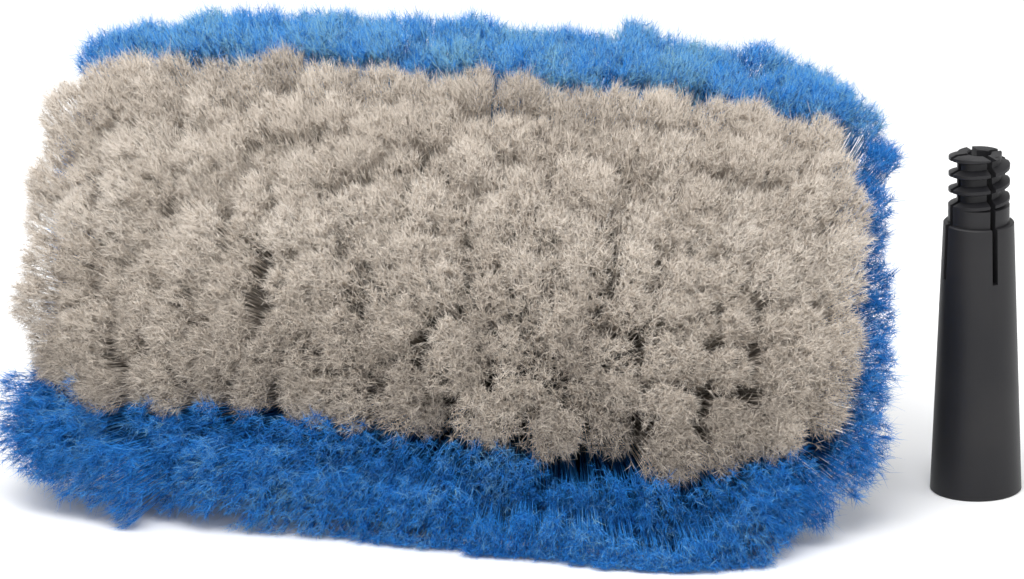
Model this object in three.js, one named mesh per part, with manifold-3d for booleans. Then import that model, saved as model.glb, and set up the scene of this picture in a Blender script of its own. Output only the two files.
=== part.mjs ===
// Car wash brush head, leaning back on its handle socket, with its loose pole adapter standing beside it
import * as THREE from "three";
import { mergeVertices } from "three/addons/utils/BufferGeometryUtils.js";
import Module from "manifold-3d";

// Driving dimensions, in millimetres and degrees

// The pose: the face leans back by TILT, and sags by ROLL to the end where the front bristles press down
const TILT = 51.5;
const ROLL = 2;
const LIFT = 31.8;
const GAP = 0.3;

// The block, measured along its length, its depth and its thickness
const BLOCK = { length: 208, depth: 76, thick: 20, corner: 20, bevel: 3, slice: 3 };

// The tufts: a grid of roots on the block that fans out to a wider grid of tips
const TUFTS = { columns: 26, rows: 13, pitchU: 7.8, pitchV: 5.8, rootR: 1.15, tipR: 0.75, sides: 3 };
const GREY_TIPS = { spreadU: 1.377, spreadV: 2.41, height: 84, crown: 3, cornerPull: 0.1 };
const BLUE_ROWS = { innerV: 72, innerW: 70, outerV: 84, outerW: 55, spreadU: 1.35, cornerPull: 0.13 };
const BLUE_ENDS = { u: 128.5, w: 57 };

// The outer row in front is pressed on the floor and splays further towards the end that sags
const FRONT_ROW = { v: 93, perU: 0.09 };

// The handle socket: a flange on the back of the block and a level tube that lies on the floor
const FLANGE = { width: 70, depth: 48, thick: 5, corner: 14, centreV: -9 };
const TUBE = { outerR: 16, collarR: 18, collarLength: 9, mouthY: 64 };
const SCREW = { u: 27, v: 15.5, shankR: 1.75, headR: 4, headH: 2.6, length: 13 };

// The broom thread shared by the socket and the adapter: three quarters of an inch, five turns to the inch
const THREAD = { majorR: 9.525, rootR: 6.9, pitch: 5.08, crest: 0.5, base: 1.9, clearance: 0.3 };
const SOCKET_BORE = { mouthR: 10.2, mouthDepth: 9, threadR: 7.9, threadDepth: 27, endR: 7.6, depth: 46 };

// The pole adapter: a long tapered sleeve, a plain neck and a threaded nose split by four slots
const ADAPTER = { x: 163, y: -16.6, baseR: 14.2, shoulderR: 10.95, neckR: 9.5 };
const ADAPTER_Z = { shoulder: 86.5, neck: 93, top: 108.5 };
const ADAPTER_BORE = { mouthR: 12.7, endR: 10.5, depth: 58, middleR: 7.4, middleTop: 86 };
const NOSE_BORE = { r: 3.7, rim: 0.4 };
const SLOT = { width: 1.8, depth: 39.5, turn: -54 };
const THREAD_LEFT = { turn: 190.8, below: 1.5 };

const wasm = await Module();
wasm.setup();
const rad = THREE.MathUtils.degToRad;

// Helpers that carry shapes to solids and back
function solid(geometry) {
  const bare = new THREE.BufferGeometry();
  const plain = geometry.index ? geometry.toNonIndexed() : geometry;
  bare.setAttribute("position", plain.getAttribute("position"));
  const merged = mergeVertices(bare, 1e-4);
  const triVerts = new Uint32Array(merged.index.array);
  const vertProperties = new Float32Array(merged.attributes.position.array);
  return new wasm.Manifold(new wasm.Mesh({ numProp: 3, vertProperties, triVerts }));
}

function geometryOf(body) {
  const mesh = body.getMesh();
  const geometry = new THREE.BufferGeometry();
  geometry.setAttribute("position", new THREE.BufferAttribute(new Float32Array(mesh.vertProperties), 3));
  geometry.setIndex(new THREE.BufferAttribute(new Uint32Array(mesh.triVerts), 1));
  geometry.computeVertexNormals();
  return geometry;
}

const join = (bodies) => wasm.Manifold.union(bodies);

function box(x0, x1, y0, y1, z0, z1) {
  const geometry = new THREE.BoxGeometry(x1 - x0, y1 - y0, z1 - z0);
  geometry.translate((x0 + x1) / 2, (y0 + y1) / 2, (z0 + z1) / 2);
  return solid(geometry);
}

// A turned body about +Z from a profile of [radius, height] points that closes on itself or on the axis
function turned(profile, segments) {
  const points = profile.map(([r, z]) => new THREE.Vector2(r, z));
  const geometry = new THREE.LatheGeometry(points, segments);
  geometry.rotateX(Math.PI / 2);
  return solid(geometry);
}

function roundedRect(length, depth, corner) {
  const x = length / 2 - corner;
  const y = depth / 2 - corner;
  const shape = new THREE.Shape();
  shape.absarc(x, y, corner, 0, Math.PI / 2);
  shape.absarc(-x, y, corner, Math.PI / 2, Math.PI);
  shape.absarc(-x, -y, corner, Math.PI, 1.5 * Math.PI);
  shape.absarc(x, -y, corner, 1.5 * Math.PI, 2 * Math.PI);
  return shape;
}

function plate(length, depth, corner, low, high) {
  const options = { depth: high - low, bevelEnabled: false, curveSegments: 6 };
  const geometry = new THREE.ExtrudeGeometry(roundedRect(length, depth, corner), options);
  geometry.translate(0, 0, low);
  return solid(geometry);
}

// A thread ridge: a straight bar wound about +Z, wider at its base than at its crest
function ridge(innerR, outerR, base, crest, startTurn, turns, startZ, pitch) {
  const steps = Math.ceil(turns * 28);
  const geometry = new THREE.BoxGeometry(1, 1, 1, steps, 1, 1);
  const p = geometry.getAttribute("position");
  for (let i = 0; i < p.count; i++) {
    const along = p.getX(i) + 0.5;
    const outer = p.getY(i) > 0;
    const angle = rad(startTurn) + along * turns * 2 * Math.PI;
    const r = outer ? outerR : innerR;
    const half = outer ? crest : base;
    const z = startZ + along * turns * pitch - Math.sign(p.getZ(i)) * half;
    p.setXYZ(i, r * Math.cos(angle), r * Math.sin(angle), z);
  }
  return solid(geometry);
}

// The brush is built flat, with its back at w = 0, then leant back and rolled about the axis of its socket
const lean = new THREE.Matrix4()
  .makeTranslation(0, 0, TUBE.collarR)
  .multiply(new THREE.Matrix4().makeRotationY(rad(ROLL)))
  .multiply(new THREE.Matrix4().makeRotationX(rad(TILT)).setPosition(0, 0, LIFT - TUBE.collarR));
const unlean = lean.clone().invert();
const leant = (body) => solid(geometryOf(body).applyMatrix4(lean));

// The block, with its top slice left to the tufts that are set in it
function blockBody() {
  const { length, depth, thick, corner, bevel } = BLOCK;
  const options = {
    depth: thick - 2 * bevel,
    bevelThickness: bevel,
    bevelSize: bevel,
    bevelOffset: -bevel,
    bevelSegments: 2,
    curveSegments: 6,
  };
  const geometry = new THREE.ExtrudeGeometry(roundedRect(length, depth, corner), options);
  geometry.translate(0, 0, bevel);
  return solid(geometry);
}

const screwPlaces = [-1, 1].flatMap((a) =>
  [-1, 1].map((b) => [a * SCREW.u, FLANGE.centreV + b * SCREW.v]),
);

function cylinder(radius, low, high, u, v) {
  const geometry = new THREE.CylinderGeometry(radius, radius, high - low, 16);
  geometry.rotateX(Math.PI / 2);
  geometry.translate(u, v, (low + high) / 2);
  return solid(geometry);
}

const whole = blockBody();
const sliceLow = BLOCK.thick - BLOCK.slice;
const far = 400;

function makeBlock() {
  const holeR = SCREW.shankR + GAP;
  const deep = SCREW.length - FLANGE.thick + 1;
  const holes = screwPlaces.map(([u, v]) => cylinder(holeR, -1, deep, u, v));
  return whole.intersect(box(-far, far, -far, far, -1, sliceLow)).subtract(join(holes));
}

// A tip that would pass through the floor lies on it instead
function onFloor(tip) {
  const placed = tip.clone().applyMatrix4(lean);
  placed.z = Math.max(placed.z, TUFTS.tipR);
  return placed.applyMatrix4(unlean);
}

// Where each tuft starts and ends, and its colour
function tuft(column, row) {
  const { columns, rows, pitchU, pitchV } = TUFTS;
  const u = (column - (columns - 1) / 2) * pitchU;
  const v = (row - (rows - 1) / 2) * pitchV;
  const end = column === 0 || column === columns - 1;
  const rank = Math.min(row, rows - 1 - row);
  const blue = end || rank < 2;
  const reachU = Math.abs(u) / (((columns - (blue ? 1 : 3)) / 2) * pitchU);
  const reachV = Math.abs(v) / (((rows - (blue ? 1 : 5)) / 2) * pitchV);
  let tipU = u * (blue ? BLUE_ROWS.spreadU : GREY_TIPS.spreadU);
  let tipV = v * GREY_TIPS.spreadV;
  let tipW = GREY_TIPS.height - GREY_TIPS.crown * Math.max(reachU, reachV) ** 4;
  if (rank === 1) {
    tipV = Math.sign(v) * BLUE_ROWS.innerV;
    tipW = BLUE_ROWS.innerW;
  }
  if (rank === 0) {
    tipV = v > 0 ? BLUE_ROWS.outerV : -(FRONT_ROW.v + FRONT_ROW.perU * tipU);
    tipW = BLUE_ROWS.outerW;
  }
  if (end) {
    tipU = Math.sign(u) * BLUE_ENDS.u;
    tipW = Math.min(tipW, BLUE_ENDS.w);
  }
  const nearCorner = Math.max(0, (reachU - 0.7) / 0.3) * Math.max(0, (reachV - 0.6) / 0.4);
  const scale = 1 - (blue ? BLUE_ROWS : GREY_TIPS).cornerPull * nearCorner;
  const root = new THREE.Vector3(u, v, BLOCK.thick - 1);
  const tip = onFloor(new THREE.Vector3(tipU * scale, tipV * scale, tipW));
  const corner = end && rank === 0;
  return { root, tip, blue, corner, back: v > 0.1 || (Math.abs(v) < 0.1 && u > 0), left: u < 0 };
}

function strand({ root, tip }) {
  const along = tip.clone().sub(root);
  const geometry = new THREE.CylinderGeometry(TUFTS.tipR, TUFTS.rootR, along.length(), TUFTS.sides, 1);
  geometry.translate(0, along.length() / 2, 0);
  const turn = new THREE.Quaternion().setFromUnitVectors(new THREE.Vector3(0, 1, 0), along.normalize());
  geometry.applyQuaternion(turn);
  geometry.translate(root.x, root.y, root.z);
  return solid(geometry);
}

const tufts = [];
for (let column = 0; column < TUFTS.columns; column++) {
  for (let row = 0; row < TUFTS.rows; row++) {
    tufts.push(tuft(column, row));
  }
}

// Grey tufts stand on the middle of the slice, blue ones on the ring round it
const innerLength = (TUFTS.columns - 2) * TUFTS.pitchU;
const innerDepth = (TUFTS.rows - 4) * TUFTS.pitchV;
const slice = whole.intersect(box(-far, far, -far, far, sliceLow + GAP, far));

function greyBristles(left) {
  const middle = plate(innerLength - GAP, innerDepth - GAP, 3, 0, 40);
  const half = left ? box(-far, -GAP / 2, -far, far, -1, far) : box(GAP / 2, far, -far, far, -1, far);
  const mine = tufts.filter((t) => !t.blue && t.left === left);
  return join([slice.intersect(middle).intersect(half), ...mine.map(strand)]);
}

function blueBristles(back) {
  const middle = plate(innerLength + GAP, innerDepth + GAP, 3, 0, 40);
  const y = TUFTS.pitchV / 2;
  const half = back ? box(-far, far, y + GAP / 2, far, -1, far) : box(-far, far, -far, y - GAP / 2, -1, far);
  const mine = tufts.filter((t) => t.blue && !t.corner && t.root.y > y === back);
  return join([slice.subtract(middle).intersect(half), ...mine.map(strand)]);
}

// The handle socket, built in place: its tube runs level along +Y from the back of the block
function makeSocket() {
  const r = TUBE.outerR;
  const collar = TUBE.collarR;
  const mouth = TUBE.mouthY;
  const neck = mouth - TUBE.collarLength;
  const tubeProfile = [
    [0, -60],
    [r, -60],
    [r, neck - 3],
    [collar, neck],
    [collar, mouth - 1],
    [collar - 1, mouth],
    [0, mouth],
  ];
  const alongY = new THREE.Matrix4().makeRotationX(-Math.PI / 2).setPosition(0, 0, collar);
  const place = (body) => solid(geometryOf(body).applyMatrix4(alongY));
  const tube = place(turned(tubeProfile, 40));
  const { width, depth, thick, corner, centreV } = FLANGE;
  const flange = plate(width, depth, corner, -thick - GAP, -GAP).translate([0, centreV, 0]);
  const holes = screwPlaces.map(([u, v]) => cylinder(SCREW.shankR + GAP, -20, 5, u, v));
  const webs = [-1, 1].map((side) => {
    const fin = box(side * 15 - 2, side * 15 + 2, centreV - 4, centreV + depth / 2 - 4, -24, -1);
    return leant(fin).intersect(box(-far, far, -far, 34, 0.5, 60));
  });
  const behind = leant(box(-far, far, -far, far, -far, -GAP));
  const bored = [
    [0, mouth - SOCKET_BORE.depth],
    [SOCKET_BORE.endR, mouth - SOCKET_BORE.depth],
    [SOCKET_BORE.endR, mouth - SOCKET_BORE.threadDepth - 2],
    [SOCKET_BORE.threadR, mouth - SOCKET_BORE.threadDepth],
    [SOCKET_BORE.threadR, mouth - SOCKET_BORE.mouthDepth - 1],
    [SOCKET_BORE.mouthR, mouth - SOCKET_BORE.mouthDepth],
    [SOCKET_BORE.mouthR, mouth - 0.3],
    [SOCKET_BORE.mouthR + 0.3, mouth],
    [SOCKET_BORE.mouthR + 0.3, mouth + 5],
    [0, mouth + 5],
  ];
  const turns = (SOCKET_BORE.threadDepth - SOCKET_BORE.mouthDepth) / THREAD.pitch + 0.5;
  const groove = ridge(
    SOCKET_BORE.endR - 1,
    THREAD.majorR + THREAD.clearance,
    THREAD.base + THREAD.clearance,
    THREAD.crest + THREAD.clearance,
    0,
    turns,
    mouth - SOCKET_BORE.threadDepth,
    THREAD.pitch,
  );
  const bore = place(turned(bored, 36)).add(place(groove));
  const outside = join([tube, leant(flange.subtract(join(holes))), ...webs]);
  return outside.intersect(behind).subtract(bore);
}

// A pan-head screw with a cross recess, driven through the flange from behind
function makeScrew([u, v]) {
  const { shankR, headR, headH, length } = SCREW;
  const profile = [
    [0, length],
    [shankR, length - 2.5],
    [shankR, 0],
    [headR, 0],
    [headR, -headH * 0.45],
    [headR * 0.72, -headH * 0.88],
    [0, -headH],
  ].reverse();
  const arm = [2.2, 0.45];
  const cross = join([
    box(-arm[0], arm[0], -arm[1], arm[1], -headH - 1, -headH + 1.4),
    box(-arm[1], arm[1], -arm[0], arm[0], -headH - 1, -headH + 1.4),
  ]);
  const screw = turned(profile, 20).subtract(cross);
  return leant(screw.translate([u, v, -FLANGE.thick - 2 * GAP]));
}

// The adapter stands on its wide end, with the split thread on top
function makeAdapter() {
  const { baseR, shoulderR, neckR } = ADAPTER;
  const { shoulder, neck, top } = ADAPTER_Z;
  const outside = turned(
    [
      [0, 0],
      [baseR - 0.4, 0],
      [baseR, 0.4],
      [shoulderR, shoulder - 0.35],
      [shoulderR - 0.35, shoulder],
      [neckR, shoulder],
      [neckR, neck - 1],
      [THREAD.rootR, neck],
      [THREAD.rootR, top],
      [0, top],
    ],
    64,
  );
  const turns = (top - neck) / THREAD.pitch + 0.35;
  const topAtLeft = top - THREAD_LEFT.below;
  const firstTurn = THREAD_LEFT.turn - turns * 360 + 130;
  const firstZ = topAtLeft + ((firstTurn - THREAD_LEFT.turn) / 360) * THREAD.pitch;
  const wound = ridge(
    THREAD.rootR - 1,
    THREAD.majorR,
    THREAD.base,
    THREAD.crest,
    firstTurn,
    turns,
    firstZ,
    THREAD.pitch,
  ).intersect(box(-far, far, -far, far, neck - 2, top));
  const bore = turned(
    [
      [0, -5],
      [ADAPTER_BORE.mouthR, -5],
      [ADAPTER_BORE.mouthR, 0],
      [ADAPTER_BORE.endR, ADAPTER_BORE.depth],
      [ADAPTER_BORE.middleR, ADAPTER_BORE.depth],
      [ADAPTER_BORE.middleR, ADAPTER_BORE.middleTop],
      [NOSE_BORE.r, ADAPTER_BORE.middleTop + 3],
      [NOSE_BORE.r, top - NOSE_BORE.rim],
      [NOSE_BORE.r + NOSE_BORE.rim, top],
      [NOSE_BORE.r + NOSE_BORE.rim, top + 5],
      [0, top + 5],
    ],
    48,
  );
  const cut = box(-30, 30, -SLOT.width / 2, SLOT.width / 2, top - SLOT.depth, top + 5);
  const slots = [0, 90].map((turn) => cut.rotate([0, 0, SLOT.turn + turn]));
  return outside.add(wound).subtract(bore).subtract(join(slots)).translate([ADAPTER.x, ADAPTER.y, 0]);
}

// The finished pieces, each with its own material
const material = (color, roughness, metalness = 0) =>
  new THREE.MeshStandardMaterial({ color, roughness, metalness });
const PLASTIC = material(0x2e2e31, 0.55);
const GREY = material(0xbfb2a5, 0.85);
const BLUE = material(0x1f68bd, 0.75);
const STEEL = material(0xb9bcc0, 0.35, 1);

const pieces = [
  ["brush_block", leant(makeBlock()), PLASTIC],
  ["bristles_grey_left", leant(greyBristles(true)), GREY],
  ["bristles_grey_right", leant(greyBristles(false)), GREY],
  ["bristles_blue_front", leant(blueBristles(false)), BLUE],
  ["bristles_blue_back", leant(blueBristles(true)), BLUE],
  ["handle_socket", makeSocket(), PLASTIC],
  ...screwPlaces.map((place, i) => [`socket_screw_${i + 1}`, makeScrew(place), STEEL]),
  ["pole_adapter", makeAdapter(), PLASTIC],
];

const brush = new THREE.Group();
brush.name = "car_wash_brush";
for (const [name, body, look] of pieces) {
  const mesh = new THREE.Mesh(geometryOf(body), look);
  mesh.name = name;
  brush.add(mesh);
}

// The origin is the middle of the whole part's footprint, on the floor
const bounds = new THREE.Box3().setFromObject(brush);
const middle = bounds.getCenter(new THREE.Vector3());
for (const mesh of brush.children) {
  mesh.geometry.translate(-middle.x, -middle.y, -bounds.min.z);
}

export default brush;
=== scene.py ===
import math
from typing import NamedTuple

import bmesh
import bpy
import numpy as np
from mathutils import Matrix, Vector


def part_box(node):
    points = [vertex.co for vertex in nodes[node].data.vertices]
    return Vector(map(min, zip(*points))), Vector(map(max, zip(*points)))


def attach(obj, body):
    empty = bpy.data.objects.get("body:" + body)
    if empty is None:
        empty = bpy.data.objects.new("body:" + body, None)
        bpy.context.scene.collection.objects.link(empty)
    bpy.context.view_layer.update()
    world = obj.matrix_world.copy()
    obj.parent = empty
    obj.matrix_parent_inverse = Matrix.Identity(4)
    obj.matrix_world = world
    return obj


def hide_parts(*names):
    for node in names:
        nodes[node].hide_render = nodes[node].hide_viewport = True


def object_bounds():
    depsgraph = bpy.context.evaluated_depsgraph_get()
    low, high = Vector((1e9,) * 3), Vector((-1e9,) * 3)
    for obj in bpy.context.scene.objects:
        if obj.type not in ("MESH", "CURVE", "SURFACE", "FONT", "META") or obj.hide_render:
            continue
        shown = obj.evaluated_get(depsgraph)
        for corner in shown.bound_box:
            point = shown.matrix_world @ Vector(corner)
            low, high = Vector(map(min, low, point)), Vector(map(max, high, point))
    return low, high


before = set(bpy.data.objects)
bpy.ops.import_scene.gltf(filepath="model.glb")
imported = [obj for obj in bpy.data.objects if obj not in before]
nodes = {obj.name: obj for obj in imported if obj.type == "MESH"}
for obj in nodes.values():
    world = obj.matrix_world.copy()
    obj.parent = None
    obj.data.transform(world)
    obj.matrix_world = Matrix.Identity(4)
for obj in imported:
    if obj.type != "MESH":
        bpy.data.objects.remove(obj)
cad_low, cad_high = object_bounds()
scene = bpy.context.scene
SEED = 7
rng = np.random.default_rng(SEED)

# Lengths in the tables below are in millimetres where nothing else is said
MM_PER_M = 1000
FULL_TURN = 2 * math.pi
TINY = 1e-12

# The brush's own frame: u along the block, v up its slope, w out of its face
TILT = math.radians(51.5)
ROLL = math.radians(2)
LIFT = 31.8  # height of the middle of the block's back
SOCKET_Z = 18.0  # height of the handle socket's axis
SOCKET_MOUTH_Y = 64.0  # along that axis, from under the block's middle to the socket's mouth
ADAPTER_X = 163.0  # across, from the handle socket's axis to the adapter's


def rolled(x, y, z):
    """A direction turned by ROLL about the level axis of the handle socket."""
    across = x * math.cos(ROLL) + z * math.sin(ROLL)
    return np.array([across, y, z * math.cos(ROLL) - x * math.sin(ROLL)])


AXIS_U = rolled(1.0, 0.0, 0.0)
AXIS_V = rolled(0.0, math.cos(TILT), math.sin(TILT))
AXIS_W = rolled(0.0, -math.sin(TILT), math.cos(TILT))
adapter_low, adapter_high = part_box("pole_adapter")
socket_x = (adapter_low[0] + adapter_high[0]) / 2 * MM_PER_M - ADAPTER_X
socket_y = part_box("handle_socket")[1][1] * MM_PER_M - SOCKET_MOUTH_Y
MIDDLE = np.array([socket_x, socket_y, SOCKET_Z]) + rolled(0.0, 0.0, LIFT - SOCKET_Z)

# The block, as in the CAD
BLOCK_LENGTH = 208.0
BLOCK_DEPTH = 76.0
BLOCK_THICK = 20.0
BLOCK_CORNER = 20.0
BLOCK_BEVEL = 3.0
CORNER_STEPS = 8
BEVEL_STEPS = 5
SLICE_GAP = 0.05  # between the block's own skin and the slice on top of it
SMOOTH_BELOW = math.radians(32)  # flatter edges than this are shaded smooth
WELD = 1e-6  # in metres

# The grid of tufts, as on the block
COLUMNS = 26
ROWS = 13
END_COLUMNS = (0, COLUMNS - 1)
BLUE_ROWS = 2  # along the front, and as many along the back
PITCH_U = 7.8
PITCH_V = 5.8
SPLIT_V = PITCH_V / 2  # between the roots of the front blue node and those of the back one
ROOT_W = 19.6
ROOT_SPREAD = 1.9

# Where the grey tips lie
GREY_SPREAD_U = 1.377
GREY_SPREAD_V = 2.41
GREY_W = 84.0
GREY_CROWN = 3.0  # how much lower the rim of the grey is than its middle
CROWN_POWER = 4
GREY_FRONT_V = 55.9  # of the tips in the front grey row, before they are pressed
# How far out that row is pressed: (u, outward)
GREY_FRONT_REACH = ((-40, 0.0), (20, 1.0), (60, 3.5), (90, 4.5), (115, 0.0))

# Where the blue tips lie; the back rows have the outer one first
BLUE_SPREAD_U = 1.35
BACK_V = (84.0, 72.0)
BACK_W = (55.0, 70.0)
FRONT_V = 93.0  # down the slope, in the outer front row
FRONT_PER_U = 0.09  # and more towards the right
FRONT_W = 71.0
# The inner front row: (u, distance down the slope)
INNER_FRONT_V = ((-120, 70.0), (-20, 74.0), (20, 77.0), (60, 81.0), (110, 81.0))
INNER_FRONT_W = 69.0
RIGHT_END_U = 128.5
RIGHT_END_W = 57.0
LEFT_END_U = -119.0
LEFT_END_W = 50.0

# How far the corners of the field are drawn in, and where along each side that starts
GREY_PULL = 0.10
BLUE_PULL = 0.13
CORNER_FROM_U = 0.7
CORNER_OVER_U = 0.3
CORNER_FROM_V = 0.6
CORNER_OVER_V = 0.4

# How far out the pressed tips are moved: (v, outward) at the two ends of the block,
# and (u, outward) at its back and front
LEFT_REACH = (
    (-84, 15.0), (-62, 14.5), (-44, 3.0), (-23, 0.0),
    (4, 6.5), (24, 5.0), (50, 5.5), (84, 4.0),
)
RIGHT_REACH = (
    (-91, 6.0), (-72, 8.5), (-57, 11.0), (-30, 9.5),
    (-10, 9.5), (10, 5.0), (40, 1.5), (84, 2.0),
)
BACK_REACH = (
    (-120, -7.0), (-75, -1.5), (-40, 1.5), (-10, 2.5),
    (50, 4.0), (75, 1.5), (100, 0.5), (125, 1.0),
)
FRONT_REACH = (
    (-125, -6.5), (-95, -6.5), (-80, -3.5), (-62, -6.5), (-45, -8.5),
    (-20, -5.0), (60, -1.0), (80, -0.5), (97, -5.0), (112, -18.0),
)
SIDE_POWER = 3  # how quickly the reach at back and front dies away towards the middle

# Neighbouring grey tips draw together towards scattered points
CLUMP_COUNT = 9  # points to each side of the middle
CLUMP_STEP = 17.0
CLUMP_JITTER = 5.0
CLUMP_PULL = 0.20
CLUMP_PULL_FRONT = 0.30
CLUMP_LIMIT_V = 4.0
FRONT_SPAN = 60  # from the middle of the face to where it counts as its front

# Each tuft is a bundle of filaments, and each filament ends in several finer, curled hairs
FILAMENTS = 150
HAIRS = 10
PIECE_TUFTS = 23  # at most, in one piece
CORE_STEPS = np.array([0.0, 0.5, 0.8])  # places along a filament, each with its radius
CORE_RADII = np.array([0.19, 0.16, 0.09])
CORE_END = 0.985  # where a filament's point is, as a share of its whole curve
HAIR_STEPS = np.array([0.0])
HAIR_RADII = np.array([0.085])
HAIR_START = 0.89  # hairs leave their filament between these two shares
HAIR_END = 0.98
HAIR_SHORTER = 0.5  # hairs that part further stop lower, by this share
STRAND_SIDES = 3
STRAND_WIDTHS = (0.8, 1.25)
ASLANT = np.array([0.31, 0.62, 0.72])  # a direction well away from that of the tufts

# How tufts and filaments differ from one another
TUFT_OPENING = (0.85, 1.15)
PAST_TIP = -1.0  # how far past its set tip a tuft ends, on average
TIP_SCATTER = 1.2
STRAY_SHARE = 0.12
FILAMENT_LENGTHS = 1.0
FILAMENT_SCATTER = 0.5
BEND_SCATTER = 0.8
BEND_ALONG = 4.0  # how far up the tuft the middle of a filament's bend is moved


class Puff(NamedTuple):
    """How a tuft opens, and how the hairs at its filaments' ends part."""

    along: float  # half width along the block
    across: float  # half width up the slope
    drop: float  # how much lower its rim is than its middle
    flag: float  # how far the hairs of one filament part
    fuzz: float  # how far their ends curl away
    uneven: float  # how much the tufts differ in length
    stray: float = 1.0  # how many times further out the stray filaments reach
    thin: float = 0.0  # how much narrower the tufts are at the front


GREY_PUFF = Puff(
    along=7.0, across=8.8, drop=4.0, flag=1.0, fuzz=1.5, uneven=1.8, stray=1.4, thin=0.12
)
FRONT_PUFF = Puff(along=7.6, across=14.5, drop=0.5, flag=1.0, fuzz=1.6, uneven=1.5)
BACK_PUFF = Puff(along=7.8, across=10.0, drop=2.0, flag=1.2, fuzz=1.9, uneven=0.9)
END_PUFF = Puff(along=7.4, across=10.0, drop=1.0, flag=1.2, fuzz=2.1, uneven=0.9)

# Tips that meet the floor bend along it, and those past the front line bunch up
FLOOR_CLEAR = 0.5
FLOOR_SLIDE = 2.5
FLOOR_SLIDE_OVER = 9.0
FLOOR_RISE = 4.0
FLOOR_RISE_OVER = 12.0
PAST_CAD = 9.0  # how far in front of the CAD's box the front line lies
FRONT_LINE = cad_low[1] * MM_PER_M - PAST_CAD
FRONT_BUNCH = 5.5

# How light the bristles are, from 0 for the darkest to 1; the grey by (v, tone) up the slope, which is
# painted light and shade: lightest in the middle of the face, with painted shade towards its front and
# back
GREY_PAINTED_LIGHT_TONES = ((-60, 0.24), (-25, 0.52), (0, 0.77), (25, 0.71), (60, 0.38))
BLUE_TONE = 0.43
# painted light: the blue back rows are paler, standing in for light shining through them from behind
BACK_PAINTED_LIGHT_TONE = 0.70
END_PAINTED_SHADE_STEP = -0.04  # painted shade: the tufts at the block's two ends are a little darker
GREY_VARIES = 0.12
BLUE_VARIES = 0.06
FILAMENT_VARIES = 0.16
HAIR_VARIES = 0.16
GREY_CONTRAST = 0.6  # between the filaments of a grey tuft, against a blue one
GREY_CONTRAST_FRONT = 0.9  # added to that at the front

# The strands' UVs hold the tone across and the place along the strand upwards
UV_LAYERS = ("Strand", "OFBake")
UV_SCALE = 0.98
UV_MARGIN = 0.01
UV_NUDGE = 0.004
# Painted shade along each strand, as (place along, shade) after the root's own: darker towards the
# root, standing in for the shade deep among the bristles
STRAND_PAINTED_SHADES = ((0.6, 0.62), (0.86, 0.92), (1.0, 1.0))

# Surfaces
BRISTLE_ROUGHNESS = 0.62
BRISTLE_SPECULAR = 0.25
POLISH_VARIES = 0.08
STEEL_DARK = (0.5, 0.5, 0.52)
STEEL_LIGHT = (0.66, 0.66, 0.68)

# The floor, in metres
FLOOR_HALF = 6

# The camera looks from the right of straight ahead, aimed right of the block's middle and above it
CAMERA_AZIMUTH = math.radians(10.8)
CAMERA_ELEVATION = math.radians(17.5)
CAMERA_DISTANCE = 4.0  # in metres
CAMERA_LENS = 450.0
CAMERA_SENSOR = 36.0
AIM_RIGHT = 12.9
AIM_UP = 17.0


def make_material(name, roughness, specular=0.3, metallic=0.0):
    material = bpy.data.materials.new(name)
    material.use_nodes = True
    shader = material.node_tree.nodes["Principled BSDF"]
    shader.inputs["Roughness"].default_value = roughness
    shader.inputs["Specular IOR Level"].default_value = specular
    shader.inputs["Metallic"].default_value = metallic
    return material, material.node_tree, shader


def add_ramp(tree, source, stops):
    ramp = tree.nodes.new("ShaderNodeValToRGB")
    elements = ramp.color_ramp.elements
    while len(elements) < len(stops):
        elements.new(0.5)
    for element, (place, colour) in zip(elements, stops):
        element.position = place
        element.color = (*colour, 1.0)
    tree.links.new(source, ramp.inputs["Fac"])
    return ramp


def add_noise(tree, scale, detail=None):
    place = tree.nodes.new("ShaderNodeTexCoord")
    noise = tree.nodes.new("ShaderNodeTexNoise")
    noise.inputs["Scale"].default_value = scale
    if detail is not None:
        noise.inputs["Detail"].default_value = detail
    tree.links.new(place.outputs["Object"], noise.inputs["Vector"])
    return noise


def bristle_material(name, dark, middle, light, root_painted_shade):
    """Hair coloured by its tone, with painted shade darkening it towards its root."""
    material, tree, shader = make_material(name, BRISTLE_ROUGHNESS, BRISTLE_SPECULAR)
    uv = tree.nodes.new("ShaderNodeUVMap")
    uv.uv_map = "Strand"
    parts = tree.nodes.new("ShaderNodeSeparateXYZ")
    tree.links.new(uv.outputs["UV"], parts.inputs["Vector"])
    tone = add_ramp(tree, parts.outputs["X"], [(0.0, dark), (0.5, middle), (1.0, light)])
    shades = [(place, (shade,) * 3) for place, shade in ((0.0, root_painted_shade), *STRAND_PAINTED_SHADES)]
    along = add_ramp(tree, parts.outputs["Y"], shades)
    mix = tree.nodes.new("ShaderNodeMix")
    mix.data_type = "RGBA"
    mix.blend_type = "MULTIPLY"
    mix.inputs["Factor"].default_value = 1.0
    tree.links.new(tone.outputs["Color"], mix.inputs["A"])
    tree.links.new(along.outputs["Color"], mix.inputs["B"])
    tree.links.new(mix.outputs["Result"], shader.inputs["Base Color"])
    return material


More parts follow.
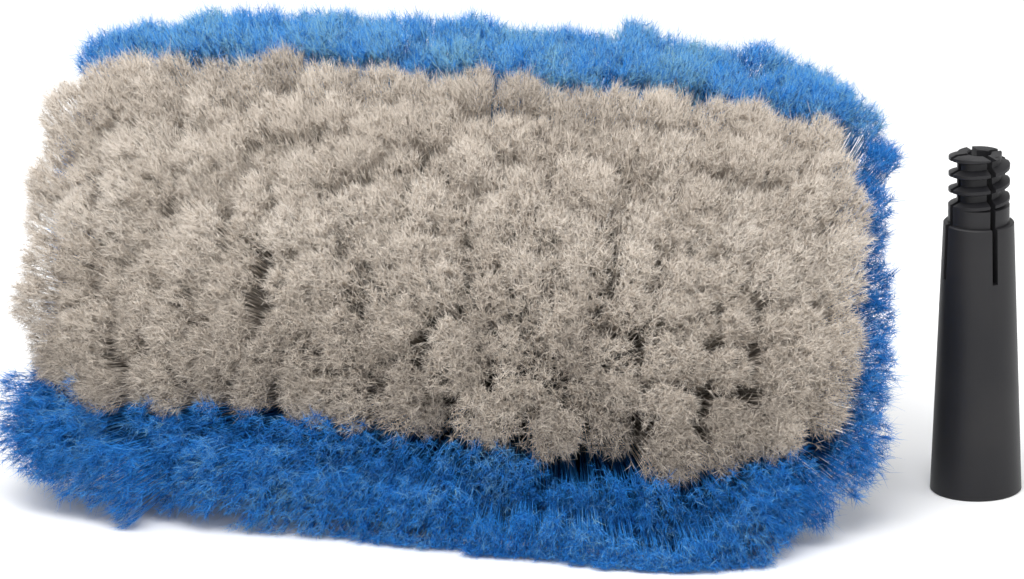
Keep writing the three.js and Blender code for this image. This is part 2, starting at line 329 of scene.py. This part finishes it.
def plastic_material(name, dark, light, roughness, grain):
    """Moulded plastic with a fine grain and slightly uneven colour."""
    material, tree, shader = make_material(name, roughness)
    broad = add_noise(tree, scale=45.0, detail=3.0)
    fine = add_noise(tree, scale=grain, detail=2.0)
    colour = add_ramp(tree, broad.outputs["Fac"], [(0.35, dark), (0.65, light)])
    tree.links.new(colour.outputs["Color"], shader.inputs["Base Color"])
    polish = tree.nodes.new("ShaderNodeMapRange")
    polish.inputs["To Min"].default_value = roughness - POLISH_VARIES
    polish.inputs["To Max"].default_value = roughness + POLISH_VARIES
    tree.links.new(fine.outputs["Fac"], polish.inputs["Value"])
    tree.links.new(polish.outputs["Result"], shader.inputs["Roughness"])
    bump = tree.nodes.new("ShaderNodeBump")
    bump.inputs["Strength"].default_value = 0.12
    bump.inputs["Distance"].default_value = 0.0002
    tree.links.new(fine.outputs["Fac"], bump.inputs["Height"])
    tree.links.new(bump.outputs["Normal"], shader.inputs["Normal"])
    return material


def steel_material(name):
    """Bright screw steel, slightly mottled."""
    material, tree, shader = make_material(name, roughness=0.35, specular=0.5, metallic=1.0)
    noise = add_noise(tree, scale=900.0)
    colour = add_ramp(tree, noise.outputs["Fac"], [(0.3, STEEL_DARK), (0.7, STEEL_LIGHT)])
    tree.links.new(colour.outputs["Color"], shader.inputs["Base Color"])
    return material


def from_table(table, place):
    """The value at a place in a table of (place, value) pairs."""
    return np.interp(place, *zip(*table))


def pressed(u, v):
    """Where a tip lies once the brush leans on its front and right-hand bristles."""
    end = from_table(RIGHT_REACH if u > 0 else LEFT_REACH, v)
    side = from_table(BACK_REACH if v > 0 else FRONT_REACH, u)
    return u * (1 + end / RIGHT_END_U), v + side * (v / BACK_V[0]) ** SIDE_POWER


def tuft_ends(column, row):
    """Where a tuft starts and ends in the brush's frame, and whether it is blue."""
    u = (column - (COLUMNS - 1) / 2) * PITCH_U
    v = (row - (ROWS - 1) / 2) * PITCH_V
    at_end = column in END_COLUMNS
    rank = min(row, ROWS - 1 - row)
    blue = at_end or rank < BLUE_ROWS
    reach_u = abs(u) / (((COLUMNS - 1) / 2 - (0 if blue else 1)) * PITCH_U)
    reach_v = abs(v) / (((ROWS - 1) / 2 - (0 if blue else BLUE_ROWS)) * PITCH_V)
    tip_u = u * (BLUE_SPREAD_U if blue else GREY_SPREAD_U)
    tip_v = v * GREY_SPREAD_V
    tip_w = GREY_W - GREY_CROWN * max(reach_u, reach_v) ** CROWN_POWER
    if row == 0:
        tip_v = -(FRONT_V + FRONT_PER_U * tip_u)
        tip_w = FRONT_W
    elif row == 1:
        tip_v = -from_table(INNER_FRONT_V, tip_u)
        tip_w = INNER_FRONT_W
    elif rank < BLUE_ROWS:
        tip_v = BACK_V[rank]
        tip_w = BACK_W[rank]
    elif v < 0 and not blue:
        tip_v -= from_table(GREY_FRONT_REACH, tip_u) * (tip_v / GREY_FRONT_V) ** 2
    if at_end:
        tip_u, end_w = (RIGHT_END_U, RIGHT_END_W) if u > 0 else (LEFT_END_U, LEFT_END_W)
        tip_w = min(tip_w, end_w)
    corner_u = max(0.0, (reach_u - CORNER_FROM_U) / CORNER_OVER_U)
    corner_v = max(0.0, (reach_v - CORNER_FROM_V) / CORNER_OVER_V)
    scale = 1 - (BLUE_PULL if blue else GREY_PULL) * (corner_u * corner_v)
    root = np.array([u, v, ROOT_W])
    tip = np.array([*pressed(tip_u * scale, tip_v * scale), tip_w])
    return root, tip, blue


def frontness(v):
    """0 from the middle of the face to its back, rising to 1 at its front."""
    return np.clip(-v / FRONT_SPAN, 0.0, 1.0)


def clump_middles():
    """Scattered points over the face that neighbouring tips draw together towards."""
    places = np.arange(-CLUMP_COUNT, CLUMP_COUNT + 1) * CLUMP_STEP
    grid = []
    for line, v in enumerate(places):
        for u in places:
            grid.append((u + (line % 2) * CLUMP_STEP / 2, v))
    return np.array(grid) + rng.uniform(-CLUMP_JITTER, CLUMP_JITTER, (len(grid), 2))


def gathered(tip, middles):
    """A tip moved part of the way to the nearest of the clumps' middles."""
    away = middles - tip[:2]
    nearest = away[np.argmin((away**2).sum(1))]
    step = (CLUMP_PULL + CLUMP_PULL_FRONT * frontness(tip[1])) * nearest
    return tip + np.array([step[0], np.clip(step[1], -CLUMP_LIMIT_V, CLUMP_LIMIT_V), 0.0])


def unit(vectors):
    return vectors / (np.linalg.norm(vectors, axis=-1, keepdims=True) + TINY)


def curve_at(start, bend, finish, t):
    return (1 - t) ** 2 * start + 2 * t * (1 - t) * bend + t**2 * finish


def along_curve(start, bend, finish, steps):
    t = np.append(steps, 1.0)[None, :, None]
    return curve_at(start[:, None], bend[:, None], finish[:, None], t)


def tuft_strands(root, tip, puff):
    """One tuft's filaments, the finer hairs at their ends, and how these curl, in the brush's frame."""
    axis = unit(tip - root)
    along = unit(np.array([1.0, 0.0, 0.0]) - axis[0] * axis)
    across = np.cross(axis, along)
    turn = rng.uniform(0, FULL_TURN, FILAMENTS)
    reach = np.sqrt(rng.uniform(0, 1, FILAMENTS)) * rng.uniform(*TUFT_OPENING)
    reach *= np.where(rng.uniform(0, 1, FILAMENTS) < STRAY_SHARE, puff.stray, 1.0)
    off_along = (reach * np.cos(turn))[:, None]
    off_across = (reach * np.sin(turn))[:, None]
    tip = tip + rng.normal(0, TIP_SCATTER, 3) + rng.normal(PAST_TIP, puff.uneven) * axis
    flat = np.array([1.0, 1.0, 0.0])
    start = root + ROOT_SPREAD * (off_along * along + off_across * across) * flat
    thin = 1 - puff.thin * frontness(tip[1])
    outward = thin * (puff.along * off_along * along + puff.across * off_across * across)
    length = rng.normal(0, FILAMENT_LENGTHS, FILAMENTS) - puff.drop * reach**2
    scatter = rng.normal(0, FILAMENT_SCATTER, (FILAMENTS, 3))
    finish = tip + outward + length[:, None] * axis + scatter
    bend = (start + finish) / 2 + rng.normal(0, BEND_SCATTER, (FILAMENTS, 3)) + BEND_ALONG * axis
    cores = along_curve(start, bend, curve_at(start, bend, finish, CORE_END), CORE_STEPS)

    start, bend, finish = [np.repeat(points, HAIRS, 0) for points in (start, bend, finish)]
    total = len(start)
    base = curve_at(start, bend, finish, rng.uniform(HAIR_START, HAIR_END, total)[:, None])
    turn = rng.uniform(0, FULL_TURN, total)
    parted = puff.flag * np.sqrt(rng.uniform(0, 1, total))
    aside = (parted * np.cos(turn))[:, None] * along + (parted * np.sin(turn))[:, None] * across
    ends = finish + aside - HAIR_SHORTER * parted[:, None] * axis
    curl = rng.normal(0, puff.fuzz, (total, 3))
    return cores, along_curve(base, (base + ends) / 2, ends, HAIR_STEPS), curl


def to_row(points):
    """From the brush's frame to the row frame, in millimetres, bent along the floor where it is met."""
    world = MIDDLE + points[..., :1] * AXIS_U + points[..., 1:2] * AXIS_V + points[..., 2:3] * AXIS_W
    sunk = np.maximum(FLOOR_CLEAR - world[..., 2], 0.0)
    world[..., 1] -= FLOOR_SLIDE * (1 - np.exp(-sunk / FLOOR_SLIDE_OVER))
    world[..., 2] += sunk + FLOOR_RISE * (1 - np.exp(-sunk / FLOOR_RISE_OVER))
    return world


def kept_in(world):
    """Strands kept above the floor and bunched behind the front line, in metres."""
    world[..., 2] = np.abs(world[..., 2] - FLOOR_CLEAR) + FLOOR_CLEAR
    past = np.maximum(FRONT_LINE - world[..., 1], 0.0)
    world[..., 1] += past - FRONT_BUNCH * (1 - np.exp(-past / FRONT_BUNCH))
    return world / MM_PER_M


def tube_faces(rings):
    """The faces of one closed strand: its root, its sides ring by ring, and its point."""
    faces = [[0, 2, 1]]
    for ring in range(rings - 1):
        for corner in range(STRAND_SIDES):
            a = ring * STRAND_SIDES + corner
            b = ring * STRAND_SIDES + (corner + 1) % STRAND_SIDES
            faces.append([a, b, b + STRAND_SIDES, a + STRAND_SIDES])
    last = (rings - 1) * STRAND_SIDES
    for corner in range(STRAND_SIDES):
        faces.append([last + corner, last + (corner + 1) % STRAND_SIDES, rings * STRAND_SIDES])
    return faces


def tube_arrays(points, steps, radii, shades, first_v, offset):
    """Closed three-sided tapering strands: vertices, loops, face sizes and UVs."""
    count = len(points)
    rings = len(steps)
    size = rings * STRAND_SIDES + 1
    axis = unit(points[:, -1] - points[:, 0])
    side = unit(np.cross(axis, ASLANT))
    other = np.cross(axis, side)
    spin = rng.uniform(0, FULL_TURN, count)
    width = rng.uniform(*STRAND_WIDTHS, count) / MM_PER_M
    verts = np.empty((count, size, 3))
    for ring in range(rings):
        for corner in range(STRAND_SIDES):
            angle = spin + corner * FULL_TURN / STRAND_SIDES
            sideways = np.cos(angle)[:, None] * side + np.sin(angle)[:, None] * other
            out = sideways * (radii[ring] * width)[:, None]
            verts[:, ring * STRAND_SIDES + corner] = points[:, ring] + out
    verts[:, -1] = points[:, -1]

    faces = tube_faces(rings)
    loops = np.concatenate(faces)
    all_loops = (loops[None, :] + np.arange(count)[:, None] * size).ravel() + offset
    sizes = np.tile([len(face) for face in faces], count)

    corner_u = np.append(np.tile([-UV_NUDGE, 0.0, UV_NUDGE], rings), 0.0)
    ring_of = np.append(np.repeat(np.arange(rings), STRAND_SIDES), rings)
    along = first_v + (1 - first_v) * np.append(steps, 1.0)
    u = np.clip(shades[:, None] * UV_SCALE + UV_MARGIN + corner_u[loops][None, :], 0.0, 1.0)
    v = np.broadcast_to(along[ring_of[loops]] * UV_SCALE + UV_MARGIN, u.shape)
    return verts.reshape(-1, 3), all_loops, sizes, np.stack([u, v], 2).reshape(-1, 2)


def strand_piece(name, cores, hairs, curl, shades, material):
    """One object of filaments and hairs."""
    core_points = kept_in(to_row(cores))
    core_parts = tube_arrays(core_points, CORE_STEPS, CORE_RADII, shades, first_v=0.0, offset=0)
    varied = np.repeat(shades, HAIRS) + rng.normal(0, HAIR_VARIES, len(shades) * HAIRS)
    hair_shades = np.clip(varied, 0, 1)
    hair_points = to_row(hairs)
    hair_points[:, -1] += curl
    hair_parts = tube_arrays(
        kept_in(hair_points),
        HAIR_STEPS,
        HAIR_RADII,
        hair_shades,
        first_v=HAIR_START,
        offset=len(core_parts[0]),
    )
    verts, loops, sizes, uvs = [np.concatenate(pair) for pair in zip(core_parts, hair_parts)]
    loop_starts = np.concatenate([[0], np.cumsum(sizes)[:-1]])
    mesh = bpy.data.meshes.new(name)
    mesh.vertices.add(len(verts))
    mesh.vertices.foreach_set("co", verts.astype(np.float32).ravel())
    mesh.loops.add(len(loops))
    mesh.loops.foreach_set("vertex_index", loops.astype(np.int32))
    mesh.polygons.add(len(sizes))
    mesh.polygons.foreach_set("loop_start", loop_starts.astype(np.int32))
    mesh.polygons.foreach_set("use_smooth", np.ones(len(sizes), dtype=bool))
    mesh.update(calc_edges=True)
    for layer in UV_LAYERS:
        mesh.uv_layers.new(name=layer).data.foreach_set("uv", uvs.astype(np.float32).ravel())
    mesh.materials.append(material)
    piece = bpy.data.objects.new(name, mesh)
    scene.collection.objects.link(piece)
    return piece


def filament_shades(column, row, tip, blue):
    """How light each filament of a tuft is, starting from tones that hold painted light and shade."""
    if blue:
        # painted light makes the blue back rows paler than the front ones
        tone = BACK_PAINTED_LIGHT_TONE if row >= ROWS - BLUE_ROWS else BLUE_TONE
        # painted shade makes the tufts at the block's two ends a little darker
        if column in END_COLUMNS:
            tone += END_PAINTED_SHADE_STEP
        shade = rng.normal(tone, BLUE_VARIES)
        contrast = FILAMENT_VARIES
    else:
        # the grey's tone by its place up the slope is painted light and shade
        shade = rng.normal(from_table(GREY_PAINTED_LIGHT_TONES, tip[1]), GREY_VARIES)
        contrast = FILAMENT_VARIES * (GREY_CONTRAST + GREY_CONTRAST_FRONT * frontness(tip[1]))
    return np.clip(shade + rng.normal(0, contrast, FILAMENTS), 0, 1)


def grow(name, blue, wanted, puff, material, stands_for):
    """All the tufts of one node, in pieces of a limited size."""
    tufts = []
    for column in range(COLUMNS):
        for row in range(ROWS):
            root, tip, is_blue = tuft_ends(column, row)
            if is_blue != blue or not wanted(root):
                continue
            if not blue:
                tip = gathered(tip, clumps)
            shades = filament_shades(column, row, tip, blue)
            opening = END_PUFF if blue and column in END_COLUMNS else puff
            tufts.append((*tuft_strands(root, tip, opening), shades))
    for part, low in enumerate(range(0, len(tufts), PIECE_TUFTS)):
        strands = [np.concatenate(arrays) for arrays in zip(*tufts[low:low + PIECE_TUFTS])]
        piece = strand_piece(f"{name}_{part + 1}", *strands, material)
        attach(piece, "brush")
        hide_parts(stands_for)


def smooth_copy(name, node, body, finish):
    """A copy of a CAD node's skin, shaded smooth between its real edges."""
    skin = bpy.data.meshes.new(name)
    shell = bmesh.new()
    shell.from_mesh(nodes[node].data)
    bmesh.ops.remove_doubles(shell, verts=shell.verts, dist=WELD)
    for face in shell.faces:
        face.smooth = True
    for edge in shell.edges:
        edge.smooth = edge.is_manifold and edge.calc_face_angle() < SMOOTH_BELOW
    shell.to_mesh(skin)
    shell.free()
    skin.materials.append(finish)
    piece = bpy.data.objects.new(name, skin)
    piece.matrix_world = nodes[node].matrix_world
    scene.collection.objects.link(piece)
    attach(piece, body)
    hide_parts(node)


def rounded_outline(inset, w):
    """The block's outline, drawn in by inset, at height w over its back."""
    radius = BLOCK_CORNER - inset
    points = []
    for corner, (side_u, side_v) in enumerate(((1, 1), (-1, 1), (-1, -1), (1, -1))):
        for step in range(CORNER_STEPS + 1):
            angle = math.radians(90 * corner + 90 * step / CORNER_STEPS)
            u = side_u * (BLOCK_LENGTH / 2 - BLOCK_CORNER) + radius * math.cos(angle)
            v = side_v * (BLOCK_DEPTH / 2 - BLOCK_CORNER) + radius * math.sin(angle)
            points.append((u, v, w))
    return points


def block_slice(name, finish):
    """The top slice of the block, which the CAD leaves to the bristles that are set in it."""
    rings = []
    for step in range(BEVEL_STEPS + 1):
        angle = math.radians(90 * step / BEVEL_STEPS)
        inset = BLOCK_BEVEL * (1 - math.cos(angle))
        w = BLOCK_THICK - BLOCK_BEVEL * (1 - math.sin(angle))
        if step == 0:
            w += SLICE_GAP
        rings.append(rounded_outline(inset, w))
    count = len(rings[0])
    points = np.array(rings).reshape(-1, 3)
    placed = (MIDDLE + points @ np.array([AXIS_U, AXIS_V, AXIS_W])) / MM_PER_M
    top = BEVEL_STEPS * count
    faces = [tuple(reversed(range(count))), tuple(range(top, top + count))]
    for ring in range(BEVEL_STEPS):
        for i in range(count):
            a = ring * count + i
            b = ring * count + (i + 1) % count
            faces.append((a, b, b + count, a + count))
    mesh = bpy.data.meshes.new(name)
    mesh.from_pydata(placed.tolist(), [], faces)
    mesh.materials.append(finish)
    piece = bpy.data.objects.new(name, mesh)
    scene.collection.objects.link(piece)
    return piece


def area_light(name, place, target, size, power):
    light = bpy.data.lights.new(name, "AREA")
    light.shape = "RECTANGLE"
    light.size, light.size_y = size
    light.energy = power
    lamp = bpy.data.objects.new(name, light)
    scene.collection.objects.link(lamp)
    lamp.location = place
    lamp.rotation_euler = (Vector(target) - Vector(place)).to_track_quat("-Z", "Y").to_euler()


# The bristles
clumps = clump_middles()
grey_hair = bristle_material(
    "grey_bristle",
    dark=(0.44, 0.388, 0.338),
    middle=(0.755, 0.675, 0.59),
    light=(0.89, 0.82, 0.74),
    root_painted_shade=0.3,
)
blue_hair = bristle_material(
    "blue_bristle",
    dark=(0.010, 0.15, 0.48),
    middle=(0.025, 0.29, 0.82),
    light=(0.27, 0.52, 0.63),
    root_painted_shade=0.4,
)
grow(
    "grey_left_bristles",
    blue=False,
    wanted=lambda root: root[0] < 0,
    puff=GREY_PUFF,
    material=grey_hair,
    stands_for="bristles_grey_left",
)
grow(
    "grey_right_bristles",
    blue=False,
    wanted=lambda root: root[0] > 0,
    puff=GREY_PUFF,
    material=grey_hair,
    stands_for="bristles_grey_right",
)
grow(
    "blue_front_bristles",
    blue=True,
    wanted=lambda root: root[1] < SPLIT_V,
    puff=FRONT_PUFF,
    material=blue_hair,
    stands_for="bristles_blue_front",
)
grow(
    "blue_back_bristles",
    blue=True,
    wanted=lambda root: root[1] > SPLIT_V,
    puff=BACK_PUFF,
    material=blue_hair,
    stands_for="bristles_blue_back",
)

# The hard pieces keep their CAD shapes
block_plastic = plastic_material(
    "block_plastic",
    dark=(0.030, 0.030, 0.034),
    light=(0.042, 0.042, 0.046),
    roughness=0.5,
    grain=2600.0,
)
adapter_plastic = plastic_material(
    "adapter_plastic",
    dark=(0.010, 0.010, 0.012),
    light=(0.015, 0.0145, 0.016),
    roughness=0.48,
    grain=3000.0,
)
screw_steel = steel_material("screw_steel")
for name, node in nodes.items():
    finish = block_plastic
    if name == "pole_adapter":
        finish = adapter_plastic
    elif name.startswith("socket_screw"):
        finish = screw_steel
    node.data.materials.clear()
    node.data.materials.append(finish)
smooth_copy("adapter_skin", "pole_adapter", "adapter", adapter_plastic)
smooth_copy("socket_skin", "handle_socket", "brush", block_plastic)
smooth_copy("block_skin", "brush_block", "brush", block_plastic)
block_face = block_slice("block_face", block_plastic)
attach(block_face, "brush")

# Floor and light
floor_corners = [
    (-FLOOR_HALF, -FLOOR_HALF, 0),
    (FLOOR_HALF, -FLOOR_HALF, 0),
    (FLOOR_HALF, FLOOR_HALF, 0),
    (-FLOOR_HALF, FLOOR_HALF, 0),
]
floor_mesh = bpy.data.meshes.new("floor")
floor_mesh.from_pydata(floor_corners, [], [(0, 1, 2, 3)])
floor = bpy.data.objects.new("floor", floor_mesh)
scene.collection.objects.link(floor)
floor_material, _, floor_shader = make_material("floor", roughness=0.9, specular=0.1)
floor_shader.inputs["Base Color"].default_value = (0.95, 0.95, 0.95, 1.0)
floor_mesh.materials.append(floor_material)

world = bpy.data.worlds.new("studio")
world.use_nodes = True
scene.world = world
sky = world.node_tree.nodes["Background"]
sky.inputs["Color"].default_value = (1.0, 1.0, 1.0, 1.0)
sky.inputs["Strength"].default_value = 0.75

area_light("top", place=(-0.4, -0.1, 0.95), target=(0, 0, 0.06), size=(0.9, 0.7), power=4.2)
area_light("front", place=(0.1, -0.75, 1.1), target=(0, 0, 0.06), size=(0.9, 0.6), power=12.5)
area_light("right", place=(0.9, -0.3, 0.5), target=(0.1, 0, 0.06), size=(0.5, 0.5), power=1.2)

# Camera
camera_data = bpy.data.cameras.new("camera")
camera_data.lens = CAMERA_LENS
camera_data.sensor_width = CAMERA_SENSOR
camera = bpy.data.objects.new("camera", camera_data)
scene.collection.objects.link(camera)
scene.camera = camera
back = Vector(
    (
        math.sin(CAMERA_AZIMUTH) * math.cos(CAMERA_ELEVATION),
        -math.cos(CAMERA_AZIMUTH) * math.cos(CAMERA_ELEVATION),
        math.sin(CAMERA_ELEVATION),
    )
)
right = Vector((math.cos(CAMERA_AZIMUTH), math.sin(CAMERA_AZIMUTH), 0.0))
aim = (Vector(MIDDLE) + AIM_RIGHT * right + AIM_UP * back.cross(right)) / MM_PER_M
camera.location = aim + back * CAMERA_DISTANCE
camera.rotation_euler = (-back).to_track_quat("-Z", "Y").to_euler()

scene.view_settings.view_transform = "Standard"
